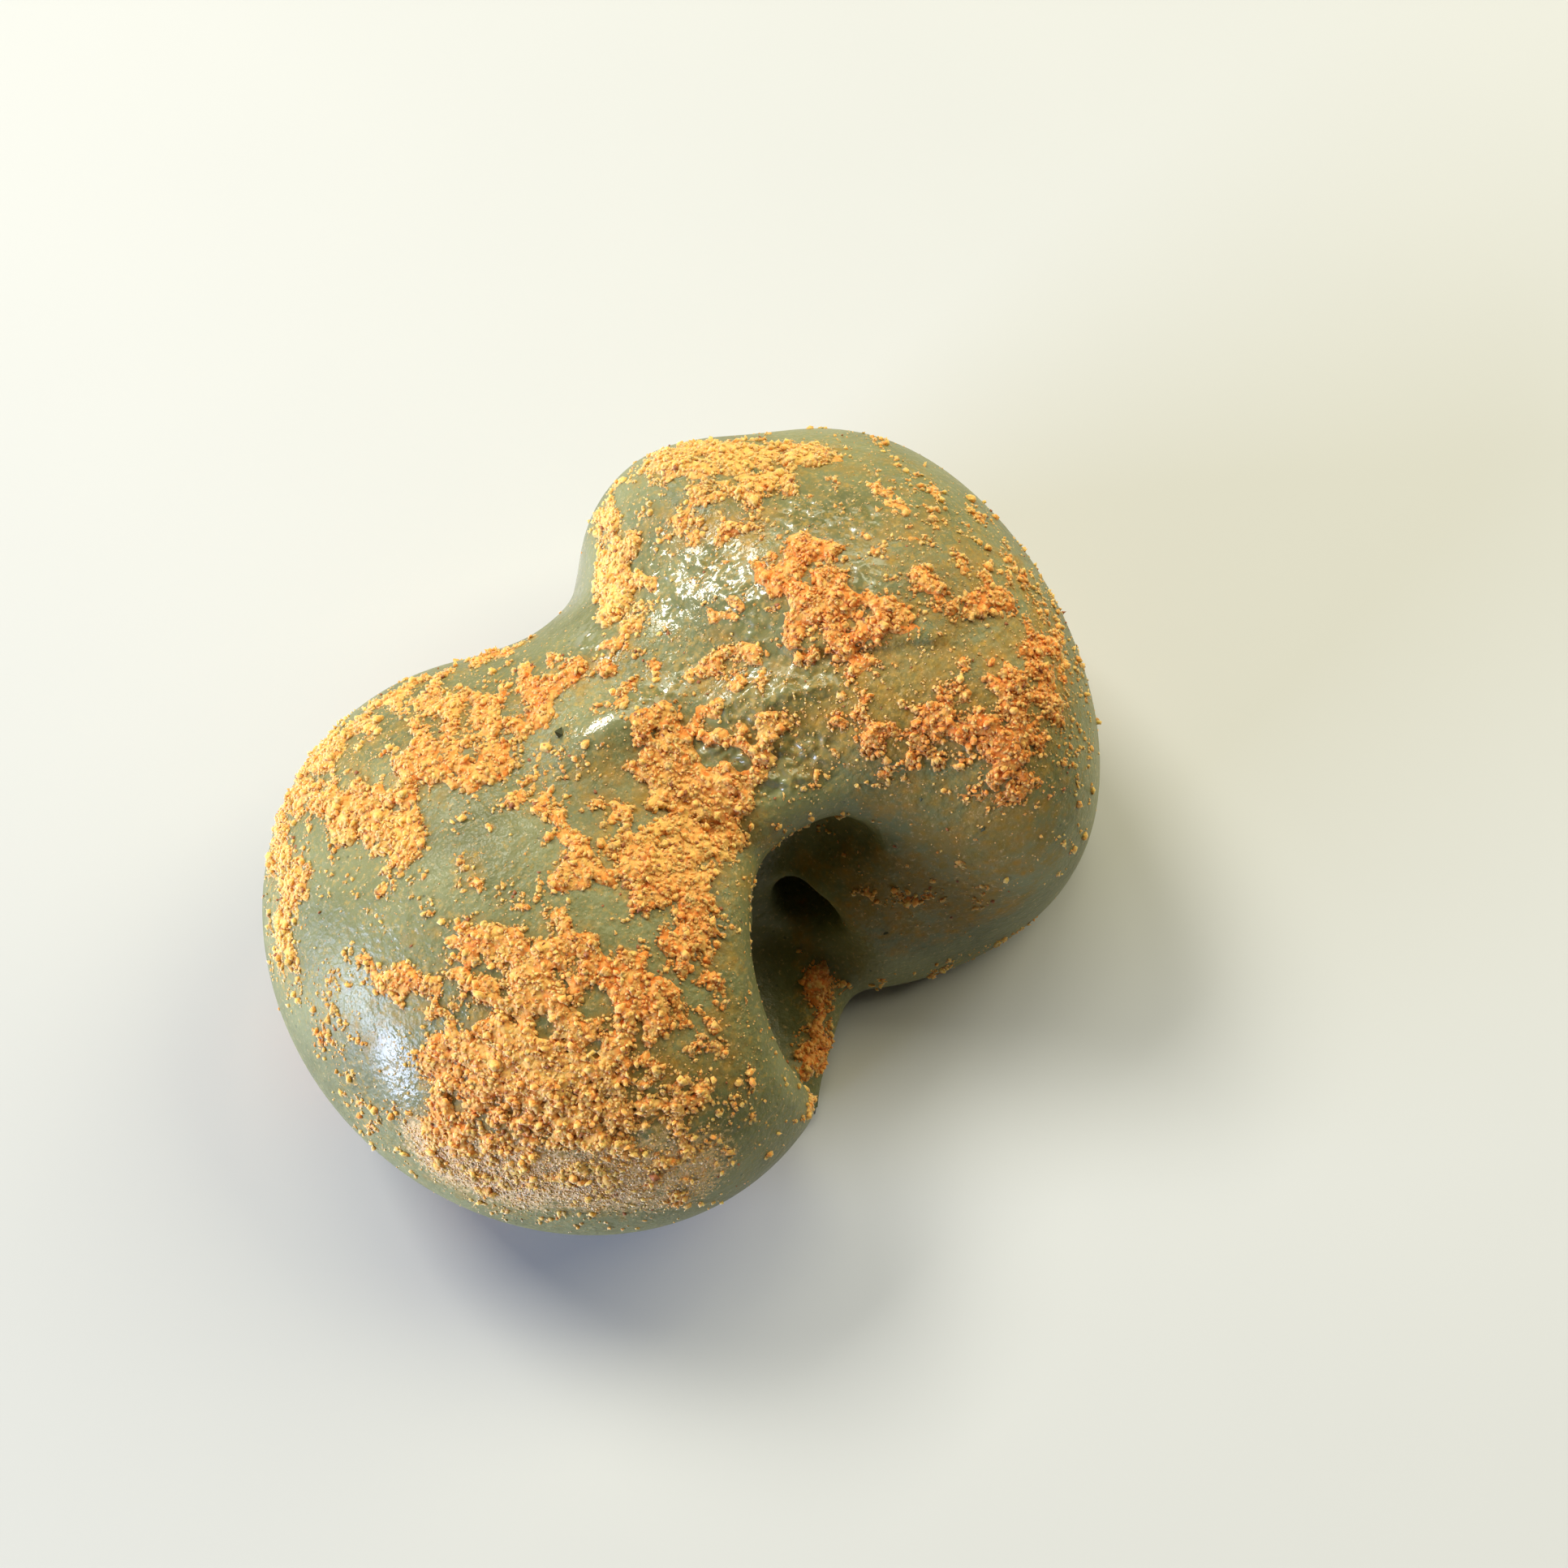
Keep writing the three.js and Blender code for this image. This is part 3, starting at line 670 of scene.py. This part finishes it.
def dough_material():
    s = Shader("mugwort_dough")
    wet = s.value("wet")

    # cloudy green dough with dark flecks of mugwort
    cloud = s.span(s.noise(7, detail=3), 0.35, 0.65)
    mottle = s.span(s.noise(0.9, detail=3), 0.3, 0.7)
    colour = s.mix(cloud, DOUGH_DEEP, DOUGH_PALE)
    colour = s.mix(s.math("MULTIPLY", mottle, 0.35), colour, DOUGH_PALE)
    fleck = s.span(s.cells(1.7), 0.05, 0.09, 1, 0)
    colour = s.mix(s.math("MULTIPLY", fleck, 0.6), colour, MUGWORT_DARK)

    # a grainy film of damp flour, thinner where the dough is wet; on the front of the right lobe and in
    # the pocket it is also painted shade
    smear_and_shade = s.span(s.noise(1.7, detail=6, roughness=0.62), 0.34, 0.66)
    smear_and_shade = s.math("ADD", smear_and_shade, s.value("film_and_shade"))
    granular = s.span(s.cells(0.62), 0.15, 0.6, 1.0, 0.6)
    film_and_shade = s.math("MULTIPLY", s.span(smear_and_shade, 0.85, 1.5), granular)
    film_and_shade = s.math("MULTIPLY", film_and_shade, s.span(wet, 0.6, 1, 1.0, 0.4))
    tint = s.mix(s.span(s.noise(1.3, detail=4), 0.35, 0.65), FILM_AND_SHADE_OCHRE, FILM_AND_SHADE_ORANGE)
    colour = s.mix(s.math("MULTIPLY", film_and_shade, 0.9), colour, tint)

    # bright specks of dust, and the fine pale powder
    speck = s.noise(0.4, detail=4, roughness=0.6)
    speck = s.span(s.math("ADD", speck, s.math("MULTIPLY", s.value("dust"), 0.20)), 0.62, 0.84)
    colour = s.mix(s.math("MULTIPLY", speck, 0.45), colour, FILM_BRIGHT)
    powder = s.noise(0.35, detail=4, roughness=0.7)
    powder = s.span(s.math("ADD", powder, s.math("MULTIPLY", s.value("powder"), 0.44)), 0.58, 0.86)
    colour = s.mix(s.math("MULTIPLY", powder, 0.9), colour, POWDER)

    # a moist coat with a fine grain, wrinkled where the dough is wettest, dull under the flour
    dull = s.math("MAXIMUM", s.math("MAXIMUM", speck, powder), s.math("MULTIPLY", film_and_shade, 0.7))
    rough = s.math("ADD", s.span(wet, 0, 1, 0.52, 0.34), s.math("MULTIPLY", dull, 0.3), clamp=True)
    fine = s.bump(s.noise(0.5, roughness=0.55), s.span(wet, 0.3, 0.6, 0.13, 0.05))
    relief = s.bump(s.noise(1.15, detail=1), s.span(wet, 0.6, 1.6, 0.09, 1.24), under=fine)
    coat = s.math("MULTIPLY", s.span(wet, 0, 0.6, 0.12, 0.95), s.span(dull, 0, 0.6, 1.0, 0.0))
    s.set(Base_Color=colour, Roughness=rough, IOR=1.42, Normal=relief)
    s.set(Subsurface_Weight=0.4, Subsurface_Radius=(1.0, 0.85, 0.4), Subsurface_Scale=0.002)
    s.set(Coat_Weight=coat, Coat_Roughness=0.05, Coat_Normal=relief)
    return s.material


def flour_material(name, pale, main, deep, grain_mm):
    """Flour from deep to pale by the tone of each crumb, with grains of its own and brown flecks."""
    s = Shader(name)
    away, chance = s.grains(grain_mm * 1.5)
    tone = s.span(s.noise(grain_mm, detail=3), 0.3, 0.7, -0.3, 0.3)
    tone = s.math("ADD", s.value("tone"), tone)
    tone = s.math("ADD", tone, s.span(chance, 0.25, 0.75, -0.3, 0.35))
    colour = s.mix(s.span(tone, -0.1, 0.5), deep, main)
    colour = s.mix(s.span(tone, 0.5, 1.1), colour, pale)
    fleck = s.span(s.cells(1.1), 0.06, 0.12, 1, 0)
    colour = s.mix(s.math("MULTIPLY", fleck, 0.75), colour, HUSK_BROWN)
    s.set(Base_Color=colour, Roughness=s.span(s.noise(grain_mm * 2), 0.3, 0.7, 0.75, 0.95))
    under = s.bump(s.noise(grain_mm * 0.8, detail=3, roughness=0.6), 0.06)
    s.set(Normal=s.bump(s.span(away, 0.1, 0.9, 1, 0), 0.15, under=under), IOR=1.4)
    s.set(Subsurface_Weight=0.6, Subsurface_Radius=(1.0, 0.9, 0.8), Subsurface_Scale=0.0007)
    return s.material


def plain_material(name, colour, other, size_mm, roughness):
    s = Shader(name)
    s.set(Base_Color=s.mix(s.noise(size_mm, detail=3), colour, other), Roughness=roughness)
    s.set(Normal=s.bump(s.noise(size_mm / 2, detail=3), size_mm * 0.2))
    return s.material


def floor_material():
    s = Shader("floor_white")
    s.set(Base_Color=s.mix(s.noise(30), FLOOR_PALE, FLOOR_GREY), Roughness=0.6)
    return s.material


# ---- The dough and its flour ------------------------------------------------------------
def build_dough():
    def near_surface(base):
        return np.abs(base).min(1) < 2.5

    lattice, value = fine_lattice(DOUGH_CELL, lambda p: [dough(p)], near_surface)
    corners, faces = surface_net(value, lattice, DOUGH_CELL)
    return slide_onto(dough, corners), faces


def flour_stand(p, cover):
    """Above 0 where flour lies: the cover with ragged, lacy edges and gaps."""
    ragged = 0.23 * rough_lumps(p, *NOISE["edge"]) + 0.39 * lumps(p, *NOISE["lace"])
    ragged = ragged + 0.38 * lumps(p, *NOISE["fray"]) - 0.5
    return 1.3 * (cover - 0.56) + CRUST_RAGGED * ragged


def flour_height(p, cover):
    """How high the flour stands on the dough, in millimetres, below 0 where there is none."""
    grain = 0.55 - to_grain(p, *NOISE["crumb"])
    height = CRUST_THIN + CRUST_DEPTH * lumps(p, *NOISE["clump"]) * clamp01(cover) + 0.34 * grain
    return np.maximum(height, CRUST_LEAST) * np.tanh(4 * (flour_stand(p, cover) + 0.5 * grain))


def build_crust(strokes):
    def read(p):
        base, cover = dough(p), np.zeros(len(p), np.float32)
        near = np.abs(base) < 3
        cover[near] = flour_cover(p[near], base[near], strokes)
        return base, cover

    def wanted(base, cover):
        return (base.max(1) > -CRUST_ROOT) & (base.min(1) < CRUST_LIMIT) & (cover.max(1) > 0.03)

    lattice, base, cover = fine_lattice(CRUST_CELL, read, wanted)
    points = (GRID_LOW + lattice * CRUST_CELL).astype(np.float32)
    height = np.full(len(points), -1, np.float32)
    near = (base > -CRUST_ROOT - 0.3) & (base < CRUST_LIMIT) & (cover > 0.04)
    height[near] = flour_height(points[near], cover[near])
    return surface_net(np.maximum(base - height, -base - CRUST_ROOT), lattice, CRUST_CELL)


# ---- Loose crumbs -----------------------------------------------------------------------
def triangle_areas(points, triangles):
    a, b, c = (points[triangles[:, n]] for n in range(3))
    return np.linalg.norm(np.cross(b - a, c - a), axis=1) / 2


def scatter(points, faces, weight, count):
    """Random places on a mesh, by its faces' area and the weight of their corners."""
    triangles = np.concatenate([faces[:, [0, 1, 2]], faces[:, [0, 2, 3]]])
    chance = triangle_areas(points, triangles) * weight[triangles].mean(axis=1)
    pick = triangles[RNG.choice(len(triangles), count, p=chance / chance.sum())]
    share = RNG.dirichlet((1, 1, 1), count)
    return np.einsum("ij,ijk->ik", share, points[pick])


def thinned(places, chance, count):
    """The first so many of the places that pass a throw of the dice with their chance."""
    kept = places[RNG.uniform(0, 1, len(places)) < chance]
    return kept[:count]


def octahedron():
    points = np.array([(1, 0, 0), (0, 1, 0), (-1, 0, 0), (0, -1, 0), (0, 0, 1), (0, 0, -1)], float)
    faces = [(n, (n + 1) % 4, 4) for n in range(4)] + [((n + 1) % 4, n, 5) for n in range(4)]
    return points, np.array(faces)


def icosahedron():
    """Two poles and two rings of five."""
    height = 1 / math.sqrt(5)
    width = 2 / math.sqrt(5)
    ring = [(width * math.cos(a), width * math.sin(a)) for a in np.arange(5) * math.tau / 5]
    low = [(width * math.cos(a), width * math.sin(a)) for a in (np.arange(5) + 0.5) * math.tau / 5]
    points = [(0, 0, 1)] + [(x, y, height) for x, y in ring]
    points += [(x, y, -height) for x, y in low] + [(0, 0, -1)]
    faces = []
    for n in range(5):
        m = (n + 1) % 5
        faces += [(0, 1 + n, 1 + m), (1 + n, 6 + n, 1 + m), (1 + m, 6 + n, 6 + m), (11, 6 + m, 6 + n)]
    return np.array(points), np.array(faces)


def random_turns(count):
    """Random rotations, as matrices from random quaternions."""
    q = RNG.normal(size=(count, 4))
    w, x, y, z = (q / np.linalg.norm(q, axis=1)[:, None]).T
    rows = [
        [1 - 2 * (y * y + z * z), 2 * (x * y - z * w), 2 * (x * z + y * w)],
        [2 * (x * y + z * w), 1 - 2 * (x * x + z * z), 2 * (y * z - x * w)],
        [2 * (x * z - y * w), 2 * (y * z + x * w), 1 - 2 * (x * x + y * y)],
    ]
    return np.moveaxis(np.array(rows), -1, 0)


def crumbs(form, places, sizes, stretch):
    """Uneven copies of one form, joined: corners, faces and a random tone for each copy."""
    base, faces = form
    count = len(places)
    shape = base[None] * (1 + RNG.uniform(-0.4, 0.4, (count, len(base), 1)))
    shape = shape * (1 + RNG.uniform(-1, 1, (count, 1, 3)) * stretch)
    shape = np.einsum("nij,nkj->nki", random_turns(count), shape)
    points = places[:, None, :] + shape * sizes[:, None, None]
    joined = faces[None] + (np.arange(count) * len(base))[:, None, None]
    tone = np.repeat(RNG.uniform(0, 1, count), len(base))
    return points.reshape(-1, 3), joined.reshape(-1, 3), tone


def inside_box(places, sizes):
    """Crumbs at the very edge are pushed in, so that the cake keeps its size."""
    low, high = [np.array(corner) / MM - FIELD_TO_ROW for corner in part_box("mochi")]
    return np.clip(places, low + sizes[:, None], high - sizes[:, None])


def hue(places, strokes):
    """How yellow (1) or orange (0) the flour is at each place, with painted light and shade in it:
    yellower where it faces the light, more orange where it lies in shade.
    """
    yellow, orange = painted(places, strokes["yellow"]), painted(places, strokes["orange"])
    return 0.5 + 0.35 * yellow - 0.38 * orange


def add_crumbs(name, form, places, kind, material, hues=0.5, smooth_shaded=True):
    """A piece of many loose bits of one kind, mostly small, half sunk in what they lie on."""
    small, large = kind["radii"]
    sizes = small + (large - small) * RNG.beta(1.3, 3, len(places))
    slope = gradient(dough, places)[1]
    places = places + slope * (sizes * RNG.uniform(-0.5, 0.4, len(places)))[:, None]
    points, faces, tone = crumbs(form, inside_box(places, sizes), sizes, kind["stretch"])
    tone = (tone - 0.5) * 0.45 + np.repeat(np.broadcast_to(hues, len(places)), len(form[0]))
    return add_mesh(name, points, faces, material, smooth_shaded=smooth_shaded, tone=tone)


# ---- Floor, light and camera ------------------------------------------------------------
def build_floor():
    corners = ((-1, -1), (1, -1), (1, 1), (-1, 1))
    points = [(FLOOR_HALF * x, FLOOR_HALF * y, 0) for x, y in corners]
    mesh = bpy.data.meshes.new("floor")
    mesh.from_pydata(points, [], [(0, 1, 2, 3)])
    mesh.materials.append(floor_material())
    floor = bpy.data.objects.new("floor", mesh)
    bpy.context.scene.collection.objects.link(floor)


def add_light(name, azimuth, elevation, size, power, colour):
    """A soft panel that shines on the cake."""
    right, _, back = camera_axes()
    ahead = np.array([-back[0], -back[1], 0]) / math.hypot(back[0], back[1])
    a, e = math.radians(azimuth), math.radians(elevation)
    towards = (ahead * math.cos(a) + right * math.sin(a)) * math.cos(e) + np.array([0, 0, math.sin(e)])
    data = bpy.data.lights.new(name, "AREA")
    data.shape = "RECTANGLE"
    data.size, data.size_y = size
    data.energy = power
    data.color = colour
    light = bpy.data.objects.new(name, data)
    bpy.context.scene.collection.objects.link(light)
    turn_to(light, LIGHT_AIM + towards * LIGHT_DISTANCE, LIGHT_AIM)


def turn_to(thing, at, aim):
    thing.location = at
    thing.rotation_euler = Vector(aim - at).to_track_quat("-Z", "Y").to_euler()


def build_camera():
    data = bpy.data.cameras.new("camera")
    data.sensor_width = SENSOR_MM
    data.lens = SENSOR_MM * FOCAL_PIXELS / PHOTO_SIZE
    data.clip_start = 0.005
    camera = bpy.data.objects.new("camera", data)
    bpy.context.scene.collection.objects.link(camera)
    turn_to(camera, (CAMERA_AT + FIELD_TO_ROW) * MM, (CAMERA_AIM + FIELD_TO_ROW) * MM)
    bpy.context.scene.camera = camera


def build_world():
    world = bpy.data.worlds.new("world")
    world.use_nodes = True
    background = world.node_tree.nodes["Background"]
    background.inputs["Color"].default_value = (1, 1, 1, 1)
    background.inputs["Strength"].default_value = WORLD_STRENGTH
    bpy.context.scene.world = world


# ---- Putting it together ----------------------------------------------------------------
def add_dough(strokes):
    """The dough's skin, marked with where it is smeared (partly painted shade), dusty, wet and powdery."""
    corners, faces = build_dough()
    cover = flour_cover(corners.astype(np.float32), np.zeros(len(corners), np.float32), strokes)
    marks = {name: painted(corners, strokes[name]) for name in ("film_and_shade", "dust", "wet", "powder")}
    marks["film_and_shade"] = np.maximum(marks["film_and_shade"], 0.6 * cover)
    marks["dust"] = np.maximum(marks["dust"], cover)
    body = add_mesh("mochi_dough", corners, faces, dough_material(), **marks)
    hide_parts("mochi")
    return corners, faces, marks


def add_crust(strokes):
    """The crusts of flour. The last value is 1 where they stand clear of the dough."""
    corners, faces = build_crust(strokes)
    rise = dough(corners.astype(np.float32))
    tone = hue(corners, strokes) + 0.4 * (lumps(corners, *NOISE["tone"]) - 0.5)
    # deeper in colour where the crust lies low: painted shade in the gaps between its clumps, and the thin
    # damp bed's own deeper tone
    tone = tone + 1.2 * np.minimum(rise - 0.24, 0.2)
    material = flour_material("flour_crust", FLOUR_PALE, FLOUR_MAIN, FLOUR_DEEP, 0.3)
    add_mesh("flour_crust", corners, faces, material, tone=tone)
    return corners, faces, (rise > 0.04).astype(float)


def add_loose_flour(strokes, corners, faces, marks, crust):
    """Crumbs, grains, powder and husks, on the crust and on the dough round it."""
    fringe = scatter(corners, faces, 0.02 + marks["dust"], FRINGE_PLACES).astype(np.float32)
    cover = flour_cover(fringe, np.zeros(len(fringe), np.float32), strokes)
    dusted, wet = painted(fringe, strokes["dust"]), painted(fringe, strokes["wet"])
    stand = flour_stand(fringe, np.maximum(cover, 0.52 * dusted))
    stand = stand + 0.25 * (lumps(fringe, *NOISE["fringe"]) - 0.5)
    near = smooth(stand / 0.35 + 0.9) * (stand < 0.25) * (1 - 0.85 * wet)

    loose = flour_material("flour_crumbs", FLOUR_PALE, FLOUR_MAIN, FLOUR_DEEP, 0.25)
    on_crust = scatter(*crust, CRUMBS["on_crust"])
    places = np.concatenate([on_crust, thinned(fringe, 0.3 * near, CRUMBS["around"])])
    add_crumbs("flour_crumbs", icosahedron(), places, CRUMBS, loose, hue(places, strokes))

    on_crust = scatter(*crust, GRAINS["on_crust"])
    around = thinned(fringe, 0.9 * near + 0.02 * dusted + 0.002, GRAINS["around"])
    places = np.concatenate([on_crust, around])
    add_crumbs("flour_grains", octahedron(), places, GRAINS, loose, hue(places, strokes))

    fine = flour_material("flour_powder", POWDER_PALE, FLOUR_PALE, FLOUR_MAIN, 0.25)
    powdery = scatter(corners, faces, marks["powder"] ** 2, POWDER_BITS["in_powder"])
    around = thinned(fringe, 0.2 * dusted, POWDER_BITS["around"])
    hues = np.repeat([0.6, 0.1], [len(powdery), len(around)])
    places = np.concatenate([powdery, around])
    add_crumbs("flour_powder", octahedron(), places, POWDER_BITS, fine, hues)

    husk = plain_material("bean_husk", HUSK_BROWN, HUSK_PALE, size_mm=0.5, roughness=0.6)
    on_crust = scatter(*crust, HUSKS["on_crust"])
    around = scatter(corners, faces, 0.01 + marks["dust"], HUSKS["around"])
    add_crumbs("bean_husks", octahedron(), np.concatenate([on_crust, around]), HUSKS, husk)


def build_cake():
    tables = dict(flour=FLOUR_STROKES, bare=BARE_STROKES, film_and_shade=FILM_AND_SHADE_STROKES, dust=DUST_STROKES)
    tables.update(wet=WET_STROKES, powder=POWDER_STROKES, yellow=YELLOW_AND_LIT_STROKES, orange=ORANGE_AND_SHADED_STROKES)
    strokes = {name: read_strokes(table) for name, table in tables.items()}
    corners, faces, marks = add_dough(strokes)
    add_loose_flour(strokes, corners, faces, marks, add_crust(strokes))
    leaf = plain_material("mugwort_leaf", MUGWORT_DARK, LEAF_PALE, size_mm=0.5, roughness=0.5)
    places = onto_dough(MUGWORT_SPECKS)
    add_crumbs("mugwort_specks", octahedron(), places, LEAF_BITS, leaf, smooth_shaded=False)


build_cake()
build_floor()
build_world()
build_camera()
for light_name, light in LIGHTS.items():
    add_light(light_name, **light)
bpy.context.scene.view_settings.view_transform = "Standard"
